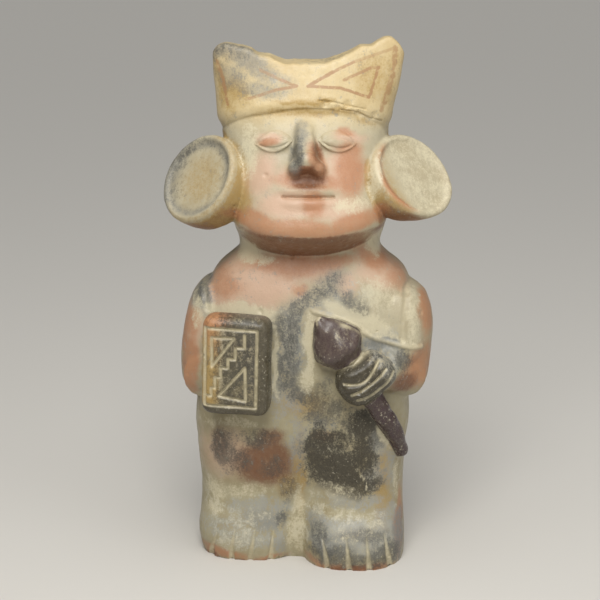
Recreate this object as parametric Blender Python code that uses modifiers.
"""A whistle of fired clay in the form of a standing warrior, mould-made, hollow and in one piece.

Units are metres. The figure faces -Y and stands on Z = 0, with +X at its left hand. It is built as
a potter would: lumps of clay are pressed together, smoothed, scored and then hollowed. The lumps
and the scored lines are laid out in 142nds of the height, which are called units below.
"""

from math import cos, radians, sin

import bmesh
import bpy
import numpy as np
from mathutils import Matrix, Vector
from mathutils.bvhtree import BVHTree

# Driving sizes of the figure
FIGURE_HEIGHT = 0.142
SPOOL_DIAMETER = 0.0249
SPOOL_RIM = 0.0021
SPOOL_RECESS = 0.0009
SPOOL_ROUND = 0.0007
SHIELD_WIDTH = 0.0180
SHIELD_HEIGHT = 0.0268
SHIELD_THICKNESS = 0.0085
SHIELD_EDGE = 0.0026
FRAME_WIDTH = 0.0138
FRAME_HEIGHT = 0.0211
FRAME_SHIFT = 0.0009
SHAFT_DIAMETER = 0.0072
CLUB_HEAD_DIAMETER = 0.0138
LINE_WIDTH = 0.0011
TOE_LINE_WIDTH = 0.0016

# Driving sizes of the whistle
WALL = 0.0055
BASE_THICKNESS = 0.0070
WINDWAY_WIDTH = 0.0080
WINDWAY_HEIGHT = 0.0017
WINDOW_HEIGHT = 0.0076
WINDOW_SIDE_CLEARANCE = 0.0002
SPOUT_CHEEK = 0.0032
SPOUT_LENGTH = 0.0225
SPOUT_EDGE = 0.0022
SPOUT_ROOT_SHARE = 0.35
SPOUT_LEAN = radians(22)
LABIUM_SLOPE = radians(30)

# Fineness of the clay
VOXEL = 0.0008
SMOOTHING_PASSES = 4
SURFACE_TRIANGLES = 5200
RING_POINTS = 56
HOLLOW_RING_POINTS = 26
HOLLOW_LEVELS = 12
SPOOL_SIDES = 48
CLUB_SIDES = 32
SHARP_ANGLE = radians(40)
WELD = 1e-6

UNIT = FIGURE_HEIGHT / 142
BODY_TURN = radians(-4)
LEFT, RIGHT = -1, 1
LEVEL_STEP = 1.2

# Lofted lumps: each row is height, half width, front, back and centre, in units
BODY = (
    (-3.0, 26.4, -14.2, 16.4, 0.0),
    (1.0, 27.0, -14.9, 17.0, 0.0),
    (8.0, 27.4, -15.0, 17.4, 0.1),
    (20.0, 27.8, -15.0, 18.0, 0.0),
    (30.0, 28.9, -17.2, 18.8, -0.5),
    (38.0, 29.8, -19.0, 19.2, -0.3),
    (46.0, 29.1, -20.0, 19.3, 0.0),
    (55.0, 28.0, -20.0, 19.0, 0.4),
    (64.0, 27.5, -19.0, 18.2, 0.6),
    (72.0, 27.4, -17.2, 17.3, 0.9),
    (77.6, 26.9, -15.4, 16.4, 1.6),
    (80.4, 24.9, -14.3, 15.8, 1.6),
    (83.0, 21.6, -13.2, 15.3, 1.5),
    (85.3, 19.4, -12.2, 14.8, 1.6),
    (88.0, 18.9, -11.8, 14.5, 1.6),
    (92.0, 18.6, -11.5, 14.3, 1.7),
)
LEGS = {
    LEFT: (
        (-3.0, 13.2, -17.6, 12.0, -14.4),
        (1.0, 14.1, -18.5, 12.6, -14.5),
        (6.0, 14.8, -18.9, 12.6, -14.6),
        (10.0, 14.5, -17.6, 12.6, -14.5),
        (14.0, 14.2, -16.2, 12.6, -14.4),
        (19.0, 14.1, -15.9, 12.8, -14.4),
        (26.0, 14.3, -17.4, 13.0, -14.6),
        (33.0, 14.4, -18.8, 13.0, -14.8),
        (39.0, 13.6, -19.0, 12.0, -14.4),
        (46.0, 12.0, -18.6, 10.0, -13.8),
    ),
    RIGHT: (
        (-3.0, 14.0, -22.6, 12.0, 14.3),
        (1.0, 14.4, -23.3, 12.6, 14.3),
        (6.0, 14.5, -23.2, 12.6, 14.2),
        (10.0, 14.3, -21.3, 12.6, 14.1),
        (14.0, 14.1, -18.6, 12.6, 14.0),
        (19.0, 14.0, -17.0, 12.8, 14.0),
        (26.0, 14.1, -17.6, 13.0, 14.1),
        (33.0, 14.2, -18.8, 13.0, 14.1),
        (39.0, 13.6, -19.0, 12.0, 14.0),
        (46.0, 12.0, -18.6, 10.0, 13.8),
    ),
}
ARMS = {
    LEFT: (
        (43.6, 5.4, -8.0, 6.0, -24.0),
        (45.4, 7.6, -10.0, 8.0, -24.0),
        (48.0, 9.3, -11.6, 9.5, -24.0),
        (53.5, 9.9, -12.6, 10.0, -24.0),
        (60.0, 9.4, -13.2, 10.0, -24.0),
        (67.0, 8.1, -12.8, 9.5, -24.0),
        (71.0, 7.0, -12.2, 9.0, -24.0),
        (74.0, 5.6, -11.0, 8.0, -24.0),
        (76.4, 3.4, -9.2, 6.5, -24.0),
    ),
    RIGHT: (
        (45.0, 4.4, -9.0, 6.0, 25.0),
        (46.6, 6.6, -11.0, 8.0, 25.0),
        (49.0, 8.7, -12.4, 9.5, 25.0),
        (53.6, 9.7, -13.2, 10.0, 25.0),
        (60.0, 10.3, -13.8, 10.0, 25.0),
        (67.0, 10.3, -13.4, 9.5, 25.0),
        (71.6, 9.2, -12.6, 9.0, 25.0),
        (74.2, 7.8, -11.4, 8.2, 25.0),
        (76.2, 5.0, -9.4, 6.5, 25.0),
    ),
}
SLEEVE = (
    (57.2, 6.6, -14.9, 4.0, 26.0),
    (58.4, 7.3, -15.2, 5.0, 26.0),
    (67.0, 7.4, -14.6, 5.0, 26.0),
    (72.0, 6.6, -13.4, 5.0, 26.0),
    (75.0, 5.2, -11.8, 4.0, 26.0),
)
HEAD = (
    (82.0, 17.4, -10.5, 13.6, 1.5),
    (85.4, 18.6, -12.0, 14.4, 1.6),
    (88.0, 19.5, -16.4, 15.2, 1.6),
    (90.4, 20.3, -21.4, 16.0, 1.6),
    (92.8, 20.8, -23.8, 16.9, 1.5),
    (96.4, 21.0, -22.8, 18.0, 1.4),
    (104.0, 21.4, -19.2, 19.6, 1.0),
    (111.0, 21.9, -15.8, 20.2, 0.6),
    (118.0, 22.5, -12.3, 19.0, 0.3),
    (124.0, 22.8, -9.3, 16.0, 0.2),
    (129.0, 22.4, -7.0, 12.0, 0.2),
)
CROWN = (
    (123.2, 22.2, -9.2, 16.2, 0.2),
    (124.2, 23.0, -10.8, 16.4, 0.2),
    (128.0, 23.8, -9.6, 13.6, 0.4),
    (133.0, 24.8, -7.4, 7.4, 0.8),
    (138.0, 25.4, -5.4, 4.2, 1.2),
    (146.0, 25.6, -2.8, 1.6, 1.3),
)
CROWN_ARCH = 5.0
CROWN_ARCH_TOP = 138.0
ABOVE_CROWN = 160.0
BODY_SQUARENESS = 3.0
LIMB_SQUARENESS = 2.7
HEAD_SQUARENESS = 2.5
CROWN_SQUARENESS = 3.0

# The worn top edge of the crown: across and up, from the figure's right corner to its left one
CROWN_EDGE = (
    (-30.0, 136.8), (-24.6, 137.8), (-22.6, 140.1), (-20.2, 140.7), (-17.0, 139.8),
    (-14.0, 139.2), (-12.2, 137.8), (-8.2, 137.1), (-5.6, 135.6), (5.8, 135.6),
    (9.0, 136.9), (12.6, 138.5), (15.0, 140.1), (17.4, 139.9), (19.4, 141.4),
    (22.6, 142.4), (25.0, 140.6), (26.8, 137.6), (30.0, 135.6),
)

# Ear spools: middle of the face, the way it looks, and middle of the root inside the head
SPOOLS = {
    LEFT: ((-28.4, -8.4, 105.9), (-0.610, -0.620, 0.494), (-20.5, -1.5, 100.0)),
    RIGHT: ((29.5, -8.4, 106.6), (0.520, -0.600, 0.610), (20.6, -2.6, 102.2)),
}
# Wall of a spool behind its rim: share of its length, and share of its face's radius
SPOOL_WALL = ((0.22, 1.01), (0.45, 0.99), (0.7, 0.93), (0.88, 0.82), (1.0, 0.66))

SHIELD_MIDDLE = (-17.7, -22.2, 58.4)
SHIELD_TURN = radians(-9)
SHIELD_ROLL = radians(1.5)

# Scored lines of the shield, as shares across and down its frame
UPPER_TRIANGLE = ((0.13, 0.12), (0.56, 0.11), (0.14, 0.49))
LOWER_TRIANGLE = ((0.78, 0.48), (0.80, 0.92), (0.28, 0.87))
STAIR_ACROSS = (0.765, 0.59, 0.45, 0.31, 0.20, 0.13, 0.04)
STAIR_DOWN = (0.06, 0.23, 0.38, 0.50, 0.63, 0.77, 0.875)

CLUB_TIP = (3.7, -21.4, 70.0)
CLUB_NECK = (10.8, -21.4, 61.5)
CLUB_PROFILE = (
    (0.0, 0.0), (0.4, 0.36), (2.5, 0.62), (8.0, 0.96),
    (10.0, 1.0), (11.8, 0.86), (14.0, 0.5), (18.0, 0.44),
)
SHAFT_ROUTE = (
    (9.5, -21.4, 63.0), (14.6, -22.2, 54.8), (20.0, -21.6, 45.2),
    (24.2, -18.0, 37.2), (26.2, -14.6, 31.8),
)
SHAFT_POINTS = 16
SHAFT_TAPER = 0.8
HAND_MIDDLE = (16.0, -23.0, 55.3)
HAND_SIZE = (16.6, 10.0, 12.6)
HAND_TURN = radians(12)
HAND_SLANT = radians(-35)
HAND_EDGE = 3.6
FOREARM_RADIUS = 5.6
FOREARMS = {
    LEFT: ((-29.0, -7.5, 50.6), (-19.0, -18.5, 55.0)),
    RIGHT: ((29.0, -8.5, 50.8), (20.0, -19.0, 56.0)),
}

# Face, laid out on the front of the head: across, up from chin to crown as a share, and out of it
CHIN_HEIGHT = 93.4
CHEEK_HEIGHT = 96.4
BROW_LINE = 121.6
NOSE_BASE_SHARE = 0.50
EYE_SHARE = 0.80
MOUTH_SHARE = 0.33
EYE_SPACING = 16.4
EYE_SIZE = (9.0, 3.4, 4.6)
EYE_SINK = 0.5
EYE_FALL = radians(7)
EYE_TURN = radians(14)
NOSE_WIDTH = 10.0
NOSE_TOP_SHARE = 0.97
NOSE_TIP_RISE = 0.08
NOSE_SINK = 1.5
NOSE_ROOT_SHARE = 0.42
NOSE_TIP_SHARE = 0.36
NOSE_REACH = 7.0
MOUTH_WIDTH = 14.0
LIPS = ((0.385, 0.9), (0.275, 1.1))
LIP_SIZE = (16.1, 3.6, 3.4)

# Scored lines seen from the front: across and up
LINE_POINTS = 7
LINE_START = 0.45
FINGER_LINES = (
    ((20.6, 59.2), (18.4, 55.8), (16.4, 54.0), (13.4, 53.0), (11.0, 53.0)),
    ((22.4, 56.8), (19.9, 54.4), (16.4, 51.6), (13.2, 50.3)),
    ((24.2, 55.6), (22.2, 53.0), (18.2, 50.0), (14.8, 49.1)),
)
TOE_LINES = (
    ((-26.0, -1.5), (-25.6, 2.0), (-24.7, 5.6)),
    ((-20.2, -1.5), (-19.8, 3.0), (-19.3, 6.6)),
    ((-14.8, -1.5), (-14.5, 3.0), (-13.6, 6.8)),
    ((-9.4, -1.5), (-9.2, 3.0), (-8.7, 6.6)),
    ((6.6, -1.5), (6.2, 3.0), (5.4, 6.2)),
    ((12.6, -1.5), (12.3, 3.0), (11.8, 6.8)),
    ((18.2, -1.5), (17.8, 3.0), (17.2, 6.8)),
    ((23.9, -1.5), (23.4, 3.0), (22.4, 7.2)),
)

WINDOW_TOP = 72.6
WINDOW_DEPTH = 17.4
HOLLOW_TOP = 119.0
NECK_JOIN = 84.0
NECK_OVERLAP = 2.0
CLEAR = 0.004


def clear_scene():
    for old in list(bpy.data.objects):
        bpy.data.objects.remove(old)


def new_collection(name):
    collection = bpy.data.collections.new(name)
    bpy.context.scene.collection.children.link(collection)
    return collection


def at(point):
    """A point given in units, in metres."""
    return Vector(point) * UNIT


def turned_with_body(point):
    return Matrix.Rotation(BODY_TURN, 3, "Z") @ Vector(point)


def put(name, mesh, collection):
    made = bpy.data.objects.new(name, mesh)
    collection.objects.link(made)
    return made


def mesh_from(name, bm):
    bmesh.ops.recalc_face_normals(bm, faces=bm.faces)
    mesh = bpy.data.meshes.new(name)
    bm.to_mesh(mesh)
    bm.free()
    return mesh


def evaluated_mesh(made):
    """A copy of the mesh that an object's modifiers or bevel leave, with loose caps welded."""
    graph = bpy.context.evaluated_depsgraph_get()
    mesh = bpy.data.meshes.new_from_object(made.evaluated_get(graph))
    bm = bmesh.new()
    bm.from_mesh(mesh)
    bmesh.ops.remove_doubles(bm, verts=bm.verts, dist=WELD)
    bm.to_mesh(mesh)
    bm.free()
    return mesh


def as_mesh(made, collection):
    """Replaces a curve or a modified object by its plain mesh."""
    name, place = made.name, made.matrix_world.copy()
    mesh = evaluated_mesh(made)
    bpy.data.objects.remove(made)
    plain = put(name, mesh, collection)
    plain.matrix_world = place
    return plain


def row_at(rows, height):
    """Half width, front, back and centre of a loft at a height, on a smooth curve through its rows."""
    table = np.array(rows)
    heights, values = table[:, 0], table[:, 1:]
    slopes = np.gradient(values, heights, axis=0)
    height = min(max(height, heights[0]), heights[-1])
    low = min(int(np.searchsorted(heights, height, side="right")) - 1, len(heights) - 2)
    span = heights[low + 1] - heights[low]
    t = (height - heights[low]) / span
    return (
        (1 + 2 * t) * (1 - t) ** 2 * values[low]
        + t * (1 - t) ** 2 * span * slopes[low]
        + t * t * (3 - 2 * t) * values[low + 1]
        + t * t * (t - 1) * span * slopes[low + 1]
    )


def ring(row, height, squareness, count=RING_POINTS):
    """Points of one level of a loft, in metres: an oval that is squared off by its exponent."""
    half_width, front, back, centre = row
    power = 2 / squareness
    points = []
    for angle in np.linspace(0, 2 * np.pi, count, endpoint=False):
        across = np.sign(cos(angle)) * abs(cos(angle)) ** power
        along = np.sign(sin(angle)) * abs(sin(angle)) ** power
        points.append(
            at((centre + half_width * across, (front + back) / 2 + (back - front) / 2 * along, height))
        )
    return points


def loft(name, rings, collection):
    """A closed skin over rings of equal counts of points."""
    bm = bmesh.new()
    levels = [[bm.verts.new(point) for point in points] for points in rings]
    for below, above in zip(levels, levels[1:]):
        for i in range(len(below)):
            after = (i + 1) % len(below)
            bm.faces.new((below[i], below[after], above[after], above[i]))
    bm.faces.new(levels[0])
    bm.faces.new(levels[-1])
    return put(name, mesh_from(name, bm), collection)


def lofted_lump(name, rows, squareness, collection, turn=0.0):
    count = round((rows[-1][0] - rows[0][0]) / LEVEL_STEP)
    heights = np.linspace(rows[0][0], rows[-1][0], count)
    made = loft(name, [ring(row_at(rows, z), z, squareness) for z in heights], collection)
    made.data.transform(Matrix.Rotation(turn, 4, "Z"))
    return made


def hollowed_row(rows, height, wall):
    """The row that leaves a wall, measured square to the surface, inside a loft."""
    leans = np.radians(np.linspace(-60, 60, 13))
    near = np.array([row_at(rows, height + wall * sin(lean)) for lean in leans])
    reach = wall * np.cos(leans)
    return (
        np.min(near[:, 0] - reach),
        np.max(near[:, 1] + reach),
        np.min(near[:, 2] - reach),
        row_at(rows, height)[3],
    )


def hollow(name, rows, squareness, lowest, highest, collection, turn=0.0):
    wall = WALL / UNIT
    levels = [
        ring(hollowed_row(rows, z, wall), z, squareness, HOLLOW_RING_POINTS)
        for z in np.linspace(lowest, highest, HOLLOW_LEVELS)
    ]
    made = loft(name, levels, collection)
    made.data.transform(Matrix.Rotation(turn, 4, "Z"))
    return made


def block(name, middle, size, edge, turn, collection):
    """A box with rounded edges. Middle, size and edge are in metres, and turn is a 3 by 3 matrix."""
    bm = bmesh.new()
    bmesh.ops.create_cube(bm, size=1)
    bmesh.ops.scale(bm, vec=size, verts=bm.verts)
    if edge:
        bmesh.ops.bevel(bm, geom=bm.edges, offset=edge, segments=4, profile=0.5, affect="EDGES")
    bmesh.ops.transform(bm, matrix=Matrix.Translation(middle) @ turn.to_4x4(), verts=bm.verts)
    return put(name, mesh_from(name, bm), collection)


def ball(name, middle, size, turn, collection):
    bm = bmesh.new()
    bmesh.ops.create_uvsphere(bm, u_segments=32, v_segments=20, radius=0.5)
    bmesh.ops.scale(bm, vec=size, verts=bm.verts)
    bmesh.ops.transform(bm, matrix=Matrix.Translation(middle) @ turn.to_4x4(), verts=bm.verts)
    return put(name, mesh_from(name, bm), collection)


def frame_along(direction):
    """A turn whose Z axis points along a direction."""
    return Vector(direction).to_track_quat("Z", "Y").to_matrix()


def turned(name, profile, place, sides, collection):
    """A solid turned about its Z axis from a profile of radii and heights that ends on the axis."""
    bm = bmesh.new()
    knots = [bm.verts.new((radius, 0, height)) for radius, height in profile]
    edges = [bm.edges.new(pair) for pair in zip(knots, knots[1:])]
    bmesh.ops.spin(
        bm, geom=knots + edges, cent=(0, 0, 0), axis=(0, 0, 1), angle=radians(360), steps=sides
    )
    bmesh.ops.remove_doubles(bm, verts=bm.verts, dist=WELD)
    bmesh.ops.transform(bm, matrix=place, verts=bm.verts)
    return put(name, mesh_from(name, bm), collection)


def tube(name, points, radii, collection, closed=False, sides=2):
    """A rod through points in metres, with a radius for each of them."""
    curve = bpy.data.curves.new(name, "CURVE")
    curve.dimensions = "3D"
    curve.bevel_depth = 1.0
    curve.bevel_resolution = sides
    curve.use_fill_caps = True
    spline = curve.splines.new("POLY")
    spline.points.add(len(points) - 1)
    for knot, point, radius in zip(spline.points, points, radii):
        knot.co = (*point, 1)
        knot.radius = radius
    spline.use_cyclic_u = closed
    return as_mesh(put(name, curve, collection), collection)


def smooth_route(points, count):
    """Points along a smooth curve through a few chosen ones."""
    chosen = np.array(points, float)
    steps = np.arange(len(chosen))
    slopes = np.gradient(chosen, axis=0)
    route = []
    for step in np.linspace(0, len(chosen) - 1, count):
        low = min(int(step), len(chosen) - 2)
        t = step - steps[low]
        route.append(
            (1 + 2 * t) * (1 - t) ** 2 * chosen[low]
            + t * (1 - t) ** 2 * slopes[low]
            + t * t * (3 - 2 * t) * chosen[low + 1]
            + t * t * (t - 1) * slopes[low + 1]
        )
    return route


def face_point(across, share, proud=0.0):
    """A place on the slope of the face, in metres, moved out of it by some units."""
    height = CHIN_HEIGHT + share * (BROW_LINE - CHIN_HEIGHT)
    _, front, _, centre = row_at(HEAD, height)
    lean = face_lean()
    return at((centre + across, front - proud * cos(lean), height + proud * sin(lean)))


def face_lean():
    """How far the face leans back from upright, above the round of the chin."""
    low, high = row_at(HEAD, CHEEK_HEIGHT), row_at(HEAD, BROW_LINE)
    return np.arctan2(high[1] - low[1], BROW_LINE - CHEEK_HEIGHT)


def nose_lump(collection):
    """A wedge, narrow at the root and wide and proud at the base."""
    root = face_point(0, NOSE_TOP_SHARE, -NOSE_SINK)
    base = face_point(0, NOSE_BASE_SHARE, -NOSE_SINK)
    tip = face_point(0, NOSE_BASE_SHARE + NOSE_TIP_RISE, NOSE_REACH)
    half = NOSE_WIDTH / 2 * UNIT
    bm = bmesh.new()
    corners = [
        bm.verts.new(point)
        for point in (
            root + Vector((-half * NOSE_ROOT_SHARE, 0, 0)),
            root + Vector((half * NOSE_ROOT_SHARE, 0, 0)),
            base + Vector((-half, 0, 0)),
            base + Vector((half, 0, 0)),
            tip + Vector((-half * NOSE_TIP_SHARE, 0, 0)),
            tip + Vector((half * NOSE_TIP_SHARE, 0, 0)),
        )
    ]
    bmesh.ops.convex_hull(bm, input=corners)
    return put("nose", mesh_from("nose", bm), collection)


def face_lumps(collection):
    tilt = Matrix.Rotation(-face_lean(), 3, "X")
    eye_size = Vector(EYE_SIZE) * UNIT
    for side in (LEFT, RIGHT):
        middle = face_point(side * EYE_SPACING / 2, EYE_SHARE, -EYE_SINK)
        fall = Matrix.Rotation(side * EYE_FALL, 3, "Y") @ Matrix.Rotation(side * EYE_TURN, 3, "Z")
        ball("eye", middle, eye_size, fall @ tilt, collection)
    for share, sink in LIPS:
        ball("lip", face_point(0, share, -sink), Vector(LIP_SIZE) * UNIT, tilt, collection)
    nose_lump(collection)


def crown_lump(collection):
    """The crown, whose lower edge arches over the brow."""
    made = lofted_lump("crown", CROWN, CROWN_SQUARENESS, collection)
    low, top = CROWN[0][0] * UNIT, CROWN_ARCH_TOP * UNIT
    for vertex in made.data.vertices:
        fade = max(0.0, min(1.0, (top - vertex.co.z) / (top - low)))
        share = abs(vertex.co.x) / (CROWN[1][1] * UNIT)
        vertex.co.z -= CROWN_ARCH * UNIT * fade * share**2
    cutter = crown_edge_cutter()
    trim = made.modifiers.new("worn top edge", "BOOLEAN")
    trim.operation = "DIFFERENCE"
    trim.object = cutter
    made = as_mesh(made, collection)
    bpy.data.objects.remove(cutter)
    return made


def crown_edge_cutter():
    """Everything above the worn edge, as a flat outline that is thickened from front to back."""
    curve = bpy.data.curves.new("above the crown", "CURVE")
    curve.dimensions = "2D"
    curve.fill_mode = "BOTH"
    curve.extrude = FIGURE_HEIGHT / 4
    outline = [*CROWN_EDGE, (CROWN_EDGE[-1][0], ABOVE_CROWN), (CROWN_EDGE[0][0], ABOVE_CROWN)]
    spline = curve.splines.new("POLY")
    spline.points.add(len(outline) - 1)
    for knot, (across, up) in zip(spline.points, outline):
        knot.co = (across * UNIT, up * UNIT, 0, 1)
    spline.use_cyclic_u = True
    made = put("above the crown", curve, bpy.context.scene.collection)
    made.rotation_euler = (radians(90), 0, 0)
    bpy.context.view_layer.update()
    return as_mesh(made, bpy.context.scene.collection)


def spool(middle, looks, root, collection):
    """An ear spool: a drum that rounds off towards the head, with a raised rim on its face."""
    axis = at(middle) - at(root)
    length = axis.length
    front = SPOOL_DIAMETER / 2
    inner = front - SPOOL_RIM
    profile = (
        (0.0, -SPOOL_RECESS),
        (inner - SPOOL_ROUND, -SPOOL_RECESS),
        (inner, -SPOOL_ROUND),
        (inner + SPOOL_ROUND, 0.0),
        (front - SPOOL_ROUND, 0.0),
        (front, -SPOOL_ROUND),
        *((front * radius, -length * depth) for depth, radius in SPOOL_WALL),
        (0.0, -length),
    )
    face = frame_along(looks)
    skewed = Matrix((face.col[0], face.col[1], axis / length)).transposed()
    place = Matrix.Translation(at(middle)) @ skewed.to_4x4()
    return turned("ear spool", profile, place, SPOOL_SIDES, collection)


def shield_turn():
    return Matrix.Rotation(SHIELD_TURN, 3, "Z") @ Matrix.Rotation(SHIELD_ROLL, 3, "Y")


def shield_lump(collection):
    size = (SHIELD_WIDTH, SHIELD_THICKNESS, SHIELD_HEIGHT)
    block("shield", at(SHIELD_MIDDLE), size, SHIELD_EDGE, shield_turn(), collection)


def club_lumps(collection):
    """The club head is turned about the slanting line of the club, and the shaft is a tapered rod."""
    tip, neck = at(CLUB_TIP), at(CLUB_NECK)
    profile = [(share * CLUB_HEAD_DIAMETER / 2, along * UNIT) for along, share in CLUB_PROFILE]
    place = Matrix.Translation(tip) @ frame_along(neck - tip).to_4x4()
    turned("club head", profile, place, CLUB_SIDES, collection)
    route = [at(point) for point in smooth_route(SHAFT_ROUTE, SHAFT_POINTS)]
    radii = np.linspace(SHAFT_DIAMETER / 2, SHAFT_DIAMETER / 2 * SHAFT_TAPER, SHAFT_POINTS)
    tube("club shaft", route, radii, collection, sides=6)
    ball("shaft end", route[-1], (radii[-1] * 2,) * 3, Matrix.Identity(3), collection)


def hand_and_forearms(collection):
    size = Vector(HAND_SIZE) * UNIT
    slant = Matrix.Rotation(HAND_TURN, 3, "Z") @ Matrix.Rotation(HAND_SLANT, 3, "Y")
    block("hand", at(HAND_MIDDLE), size, HAND_EDGE * UNIT, slant, collection)
    for elbow, wrist in FOREARMS.values():
        tube("forearm", [at(elbow), at(wrist)], [FOREARM_RADIUS * UNIT] * 2, collection, sides=6)


def duct_frame():
    """Where the windway leaves the spout for the window, and the way it runs."""
    start = turned_with_body(at((0, WINDOW_DEPTH, WINDOW_TOP)))
    turn = Matrix.Rotation(BODY_TURN, 3, "Z") @ Matrix.Rotation(-SPOUT_LEAN, 3, "X")
    return start, turn


def spout_lump(collection):
    """The mouthpiece on the upper back, with cheeks of clay all round the windway."""
    start, turn = duct_frame()
    width = WINDWAY_WIDTH + 2 * SPOUT_CHEEK
    thickness = WINDWAY_HEIGHT + 2 * SPOUT_CHEEK
    middle = start + turn @ Vector((0, 0, SPOUT_LENGTH / 2))
    block("mouthpiece", middle, (width, thickness, SPOUT_LENGTH), SPOUT_EDGE, turn, collection)
    root = start + turn @ Vector((0, -thickness / 2, SPOUT_LENGTH * SPOUT_ROOT_SHARE))
    ball("mouthpiece root", root, (width, thickness, SPOUT_LENGTH), turn, collection)


def clay_lumps(collection):
    lofted_lump("body", BODY, BODY_SQUARENESS, collection, BODY_TURN)
    for side in (LEFT, RIGHT):
        lofted_lump("leg", LEGS[side], LIMB_SQUARENESS, collection, BODY_TURN)
        lofted_lump("arm", ARMS[side], LIMB_SQUARENESS, collection, BODY_TURN)
    lofted_lump("sleeve", SLEEVE, LIMB_SQUARENESS, collection, BODY_TURN)
    lofted_lump("head", HEAD, HEAD_SQUARENESS, collection)
    crown_lump(collection)
    face_lumps(collection)
    shield_lump(collection)
    club_lumps(collection)
    hand_and_forearms(collection)
    spout_lump(collection)


def pressed_together(lumps, name, collection):
    """One skin over all the lumps, softened where they meet."""
    bm = bmesh.new()
    for lump in list(lumps.objects):
        bm.from_mesh(lump.data)
        bpy.data.objects.remove(lump)
    joined = put(name, mesh_from(name, bm), collection)
    skin = joined.modifiers.new("one skin", "REMESH")
    skin.mode = "VOXEL"
    skin.voxel_size = VOXEL
    soft = joined.modifiers.new("softened", "SMOOTH")
    soft.factor = 0.5
    soft.iterations = SMOOTHING_PASSES
    return as_mesh(joined, collection)


def cut_flat_below(made):
    bm = bmesh.new()
    bm.from_mesh(made.data)
    geometry = bm.verts[:] + bm.edges[:] + bm.faces[:]
    cut = bmesh.ops.bisect_plane(
        bm, geom=geometry, dist=1e-7, plane_co=(0, 0, 0), plane_no=(0, 0, 1), clear_inner=True
    )
    rim = [item for item in cut["geom_cut"] if isinstance(item, bmesh.types.BMEdge)]
    bmesh.ops.holes_fill(bm, edges=rim, sides=0)
    bm.to_mesh(made.data)
    bm.free()


def thin_out(made, collection):
    """Fewer faces where the surface is nearly flat."""
    made.data.calc_loop_triangles()
    fewer = made.modifiers.new("fewer faces", "DECIMATE")
    fewer.ratio = min(1.0, SURFACE_TRIANGLES / len(made.data.loop_triangles))
    fewer.use_collapse_triangulate = True
    return as_mesh(made, collection)


def surface_tree(made):
    bm = bmesh.new()
    bm.from_mesh(made.data)
    tree = BVHTree.FromBMesh(bm)
    bm.free()
    return tree


def on_front(tree, across, up):
    """The point of the figure's front straight behind a place seen from the front."""
    start = Vector((across * UNIT, -FIGURE_HEIGHT, up * UNIT))
    hit = tree.ray_cast(start, Vector((0, 1, 0)))[0]
    return hit or tree.find_nearest(Vector((start.x, 0, start.z)))[0]


def scored_line(name, tree, line, width, collection):
    """A round groove along a line seen from the front, which is finer where it starts."""
    route = [on_front(tree, *point) for point in smooth_route(line, LINE_POINTS)]
    shares = np.linspace(LINE_START, LINE_START + 1.5, LINE_POINTS).clip(max=1)
    tube(name, route, width / 2 * shares, collection, sides=1)


def shield_place(across, down):
    """A place on the shield's front, by shares across and down its frame, in metres."""
    from_middle = Vector(
        (
            (across - 0.5) * FRAME_WIDTH - FRAME_SHIFT,
            -SHIELD_THICKNESS / 2,
            (0.5 - down) * FRAME_HEIGHT,
        )
    )
    return at(SHIELD_MIDDLE) + shield_turn() @ from_middle


def shield_lines(collection):
    """A frame, and in it a stair that parts two corner triangles, as fine round grooves."""
    stair = [(STAIR_ACROSS[0], STAIR_DOWN[0])]
    for across, next_across, down in zip(STAIR_ACROSS, STAIR_ACROSS[1:], STAIR_DOWN[1:]):
        stair += [(across, down), (next_across, down)]
    lines = (
        ("shield frame", ((0, 0), (1, 0), (1, 1), (0, 1)), True),
        ("upper triangle", UPPER_TRIANGLE, True),
        ("lower triangle", LOWER_TRIANGLE, True),
        ("stair", stair, False),
    )
    for name, places, closed in lines:
        route = [shield_place(*place) for place in places]
        tube(name, route, [LINE_WIDTH / 2] * len(route), collection, closed, sides=1)


def scored_lines(tree, collection):
    shield_lines(collection)
    for number, line in enumerate(FINGER_LINES):
        scored_line(f"finger line {number}", tree, line, LINE_WIDTH, collection)
    for number, line in enumerate(TOE_LINES):
        scored_line(f"toe line {number}", tree, line[::-1], TOE_LINE_WIDTH, collection)


def mouth_line(tree, collection):
    middle = face_point(0, MOUTH_SHARE)
    shares = np.linspace(-1, 1, 9)
    across = middle.x / UNIT + MOUTH_WIDTH / 2 * shares
    route = [on_front(tree, x, middle.z / UNIT) for x in across]
    tube("mouth line", route, LINE_WIDTH / 2 * np.sqrt(1.02 - shares**2), collection, sides=1)


def window_cutter(collection):
    """A straight way from the hollow out of the back."""
    start, _ = duct_frame()
    turn = Matrix.Rotation(BODY_TURN, 3, "Z")
    middle = start + Vector((0, 0, -WINDOW_HEIGHT / 2))
    size = (WINDWAY_WIDTH + 2 * WINDOW_SIDE_CLEARANCE, 4 * WALL, WINDOW_HEIGHT)
    return block("window", middle, size, 0, turn, collection)


def windway_cutter(collection):
    start, turn = duct_frame()
    length = SPOUT_LENGTH + 2 * CLEAR
    middle = start + turn @ Vector((0, 0, length / 2 - CLEAR))
    return block("windway", middle, (WINDWAY_WIDTH, WINDWAY_HEIGHT, length), 0, turn, collection)


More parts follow.
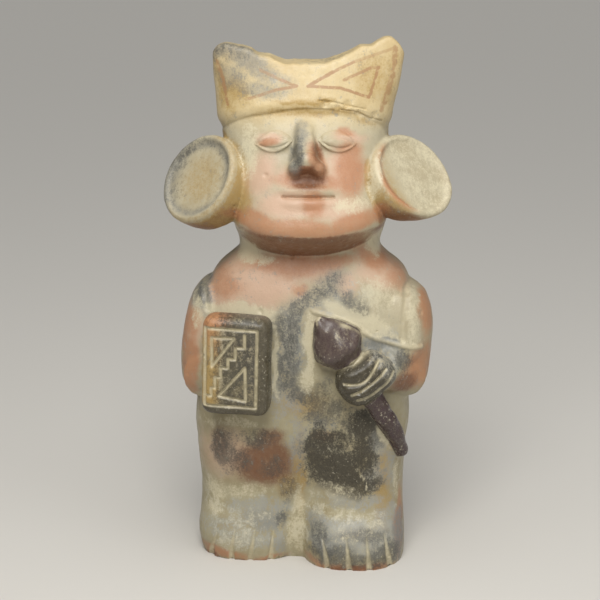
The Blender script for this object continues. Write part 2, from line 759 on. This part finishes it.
def labium_cutter(collection):
    """A ramp from the sharp lip at the foot of the window down to the surface of the back."""
    start, duct = duct_frame()
    lip = start + duct @ Vector((0, 0, -WINDOW_HEIGHT / cos(SPOUT_LEAN)))
    turn = Matrix.Rotation(BODY_TURN, 3, "Z") @ Matrix.Rotation(LABIUM_SLOPE, 3, "X")
    length = 4 * WALL
    middle = lip + turn @ Vector((0, WALL, -length / 2 + CLEAR / 2))
    size = (WINDWAY_WIDTH + 4 * WINDOW_SIDE_CLEARANCE, 2 * WALL, length + CLEAR)
    return block("labium ramp", middle, size, 0, turn, collection)


def join_cutters(collection, name):
    bm = bmesh.new()
    for part in list(collection.objects):
        bm.from_mesh(part.data)
        bpy.data.objects.remove(part)
    return put(name, mesh_from(name, bm), collection)


def combine(made, tool, operation="DIFFERENCE"):
    tool.hide_render = True
    tool.display_type = "WIRE"
    modifier = made.modifiers.new(tool.name, "BOOLEAN")
    modifier.operation = operation
    modifier.solver = "EXACT"
    modifier.object = tool


def fired_clay():
    material = bpy.data.materials.new("fired clay")
    material.use_nodes = True
    shader = material.node_tree.nodes["Principled BSDF"]
    shader.inputs["Base Color"].default_value = (0.53, 0.40, 0.25, 1)
    shader.inputs["Roughness"].default_value = 0.5
    shader.inputs["Metallic"].default_value = 0.0
    return material


def build():
    clear_scene()
    whistle = new_collection("ceramic whistle")
    lumps = new_collection("clay lumps")
    cutters = new_collection("cutters")

    clay_lumps(lumps)
    figure = pressed_together(lumps, "whistle_figure", whistle)
    tree = surface_tree(figure)
    figure = thin_out(figure, whistle)
    cut_flat_below(figure)

    scored_lines(tree, cutters)
    mouth_line(tree, cutters)
    combine(figure, join_cutters(cutters, "scored lines"))
    for place in SPOOLS.values():
        combine(figure, spool(*place, cutters), "UNION")
    floor, neck = BASE_THICKNESS / UNIT, NECK_JOIN + NECK_OVERLAP
    combine(figure, hollow("body hollow", BODY, BODY_SQUARENESS, floor, neck, cutters, BODY_TURN))
    combine(figure, hollow("head hollow", HEAD, HEAD_SQUARENESS, NECK_JOIN, HOLLOW_TOP, cutters))
    combine(figure, window_cutter(cutters))
    combine(figure, windway_cutter(cutters))
    combine(figure, labium_cutter(cutters))

    figure.data.materials.clear()
    figure.data.materials.append(fired_clay())
    figure.data.shade_smooth()
    figure.data.set_sharp_from_angle(angle=SHARP_ANGLE)
    bpy.data.collections.remove(lumps)


build()
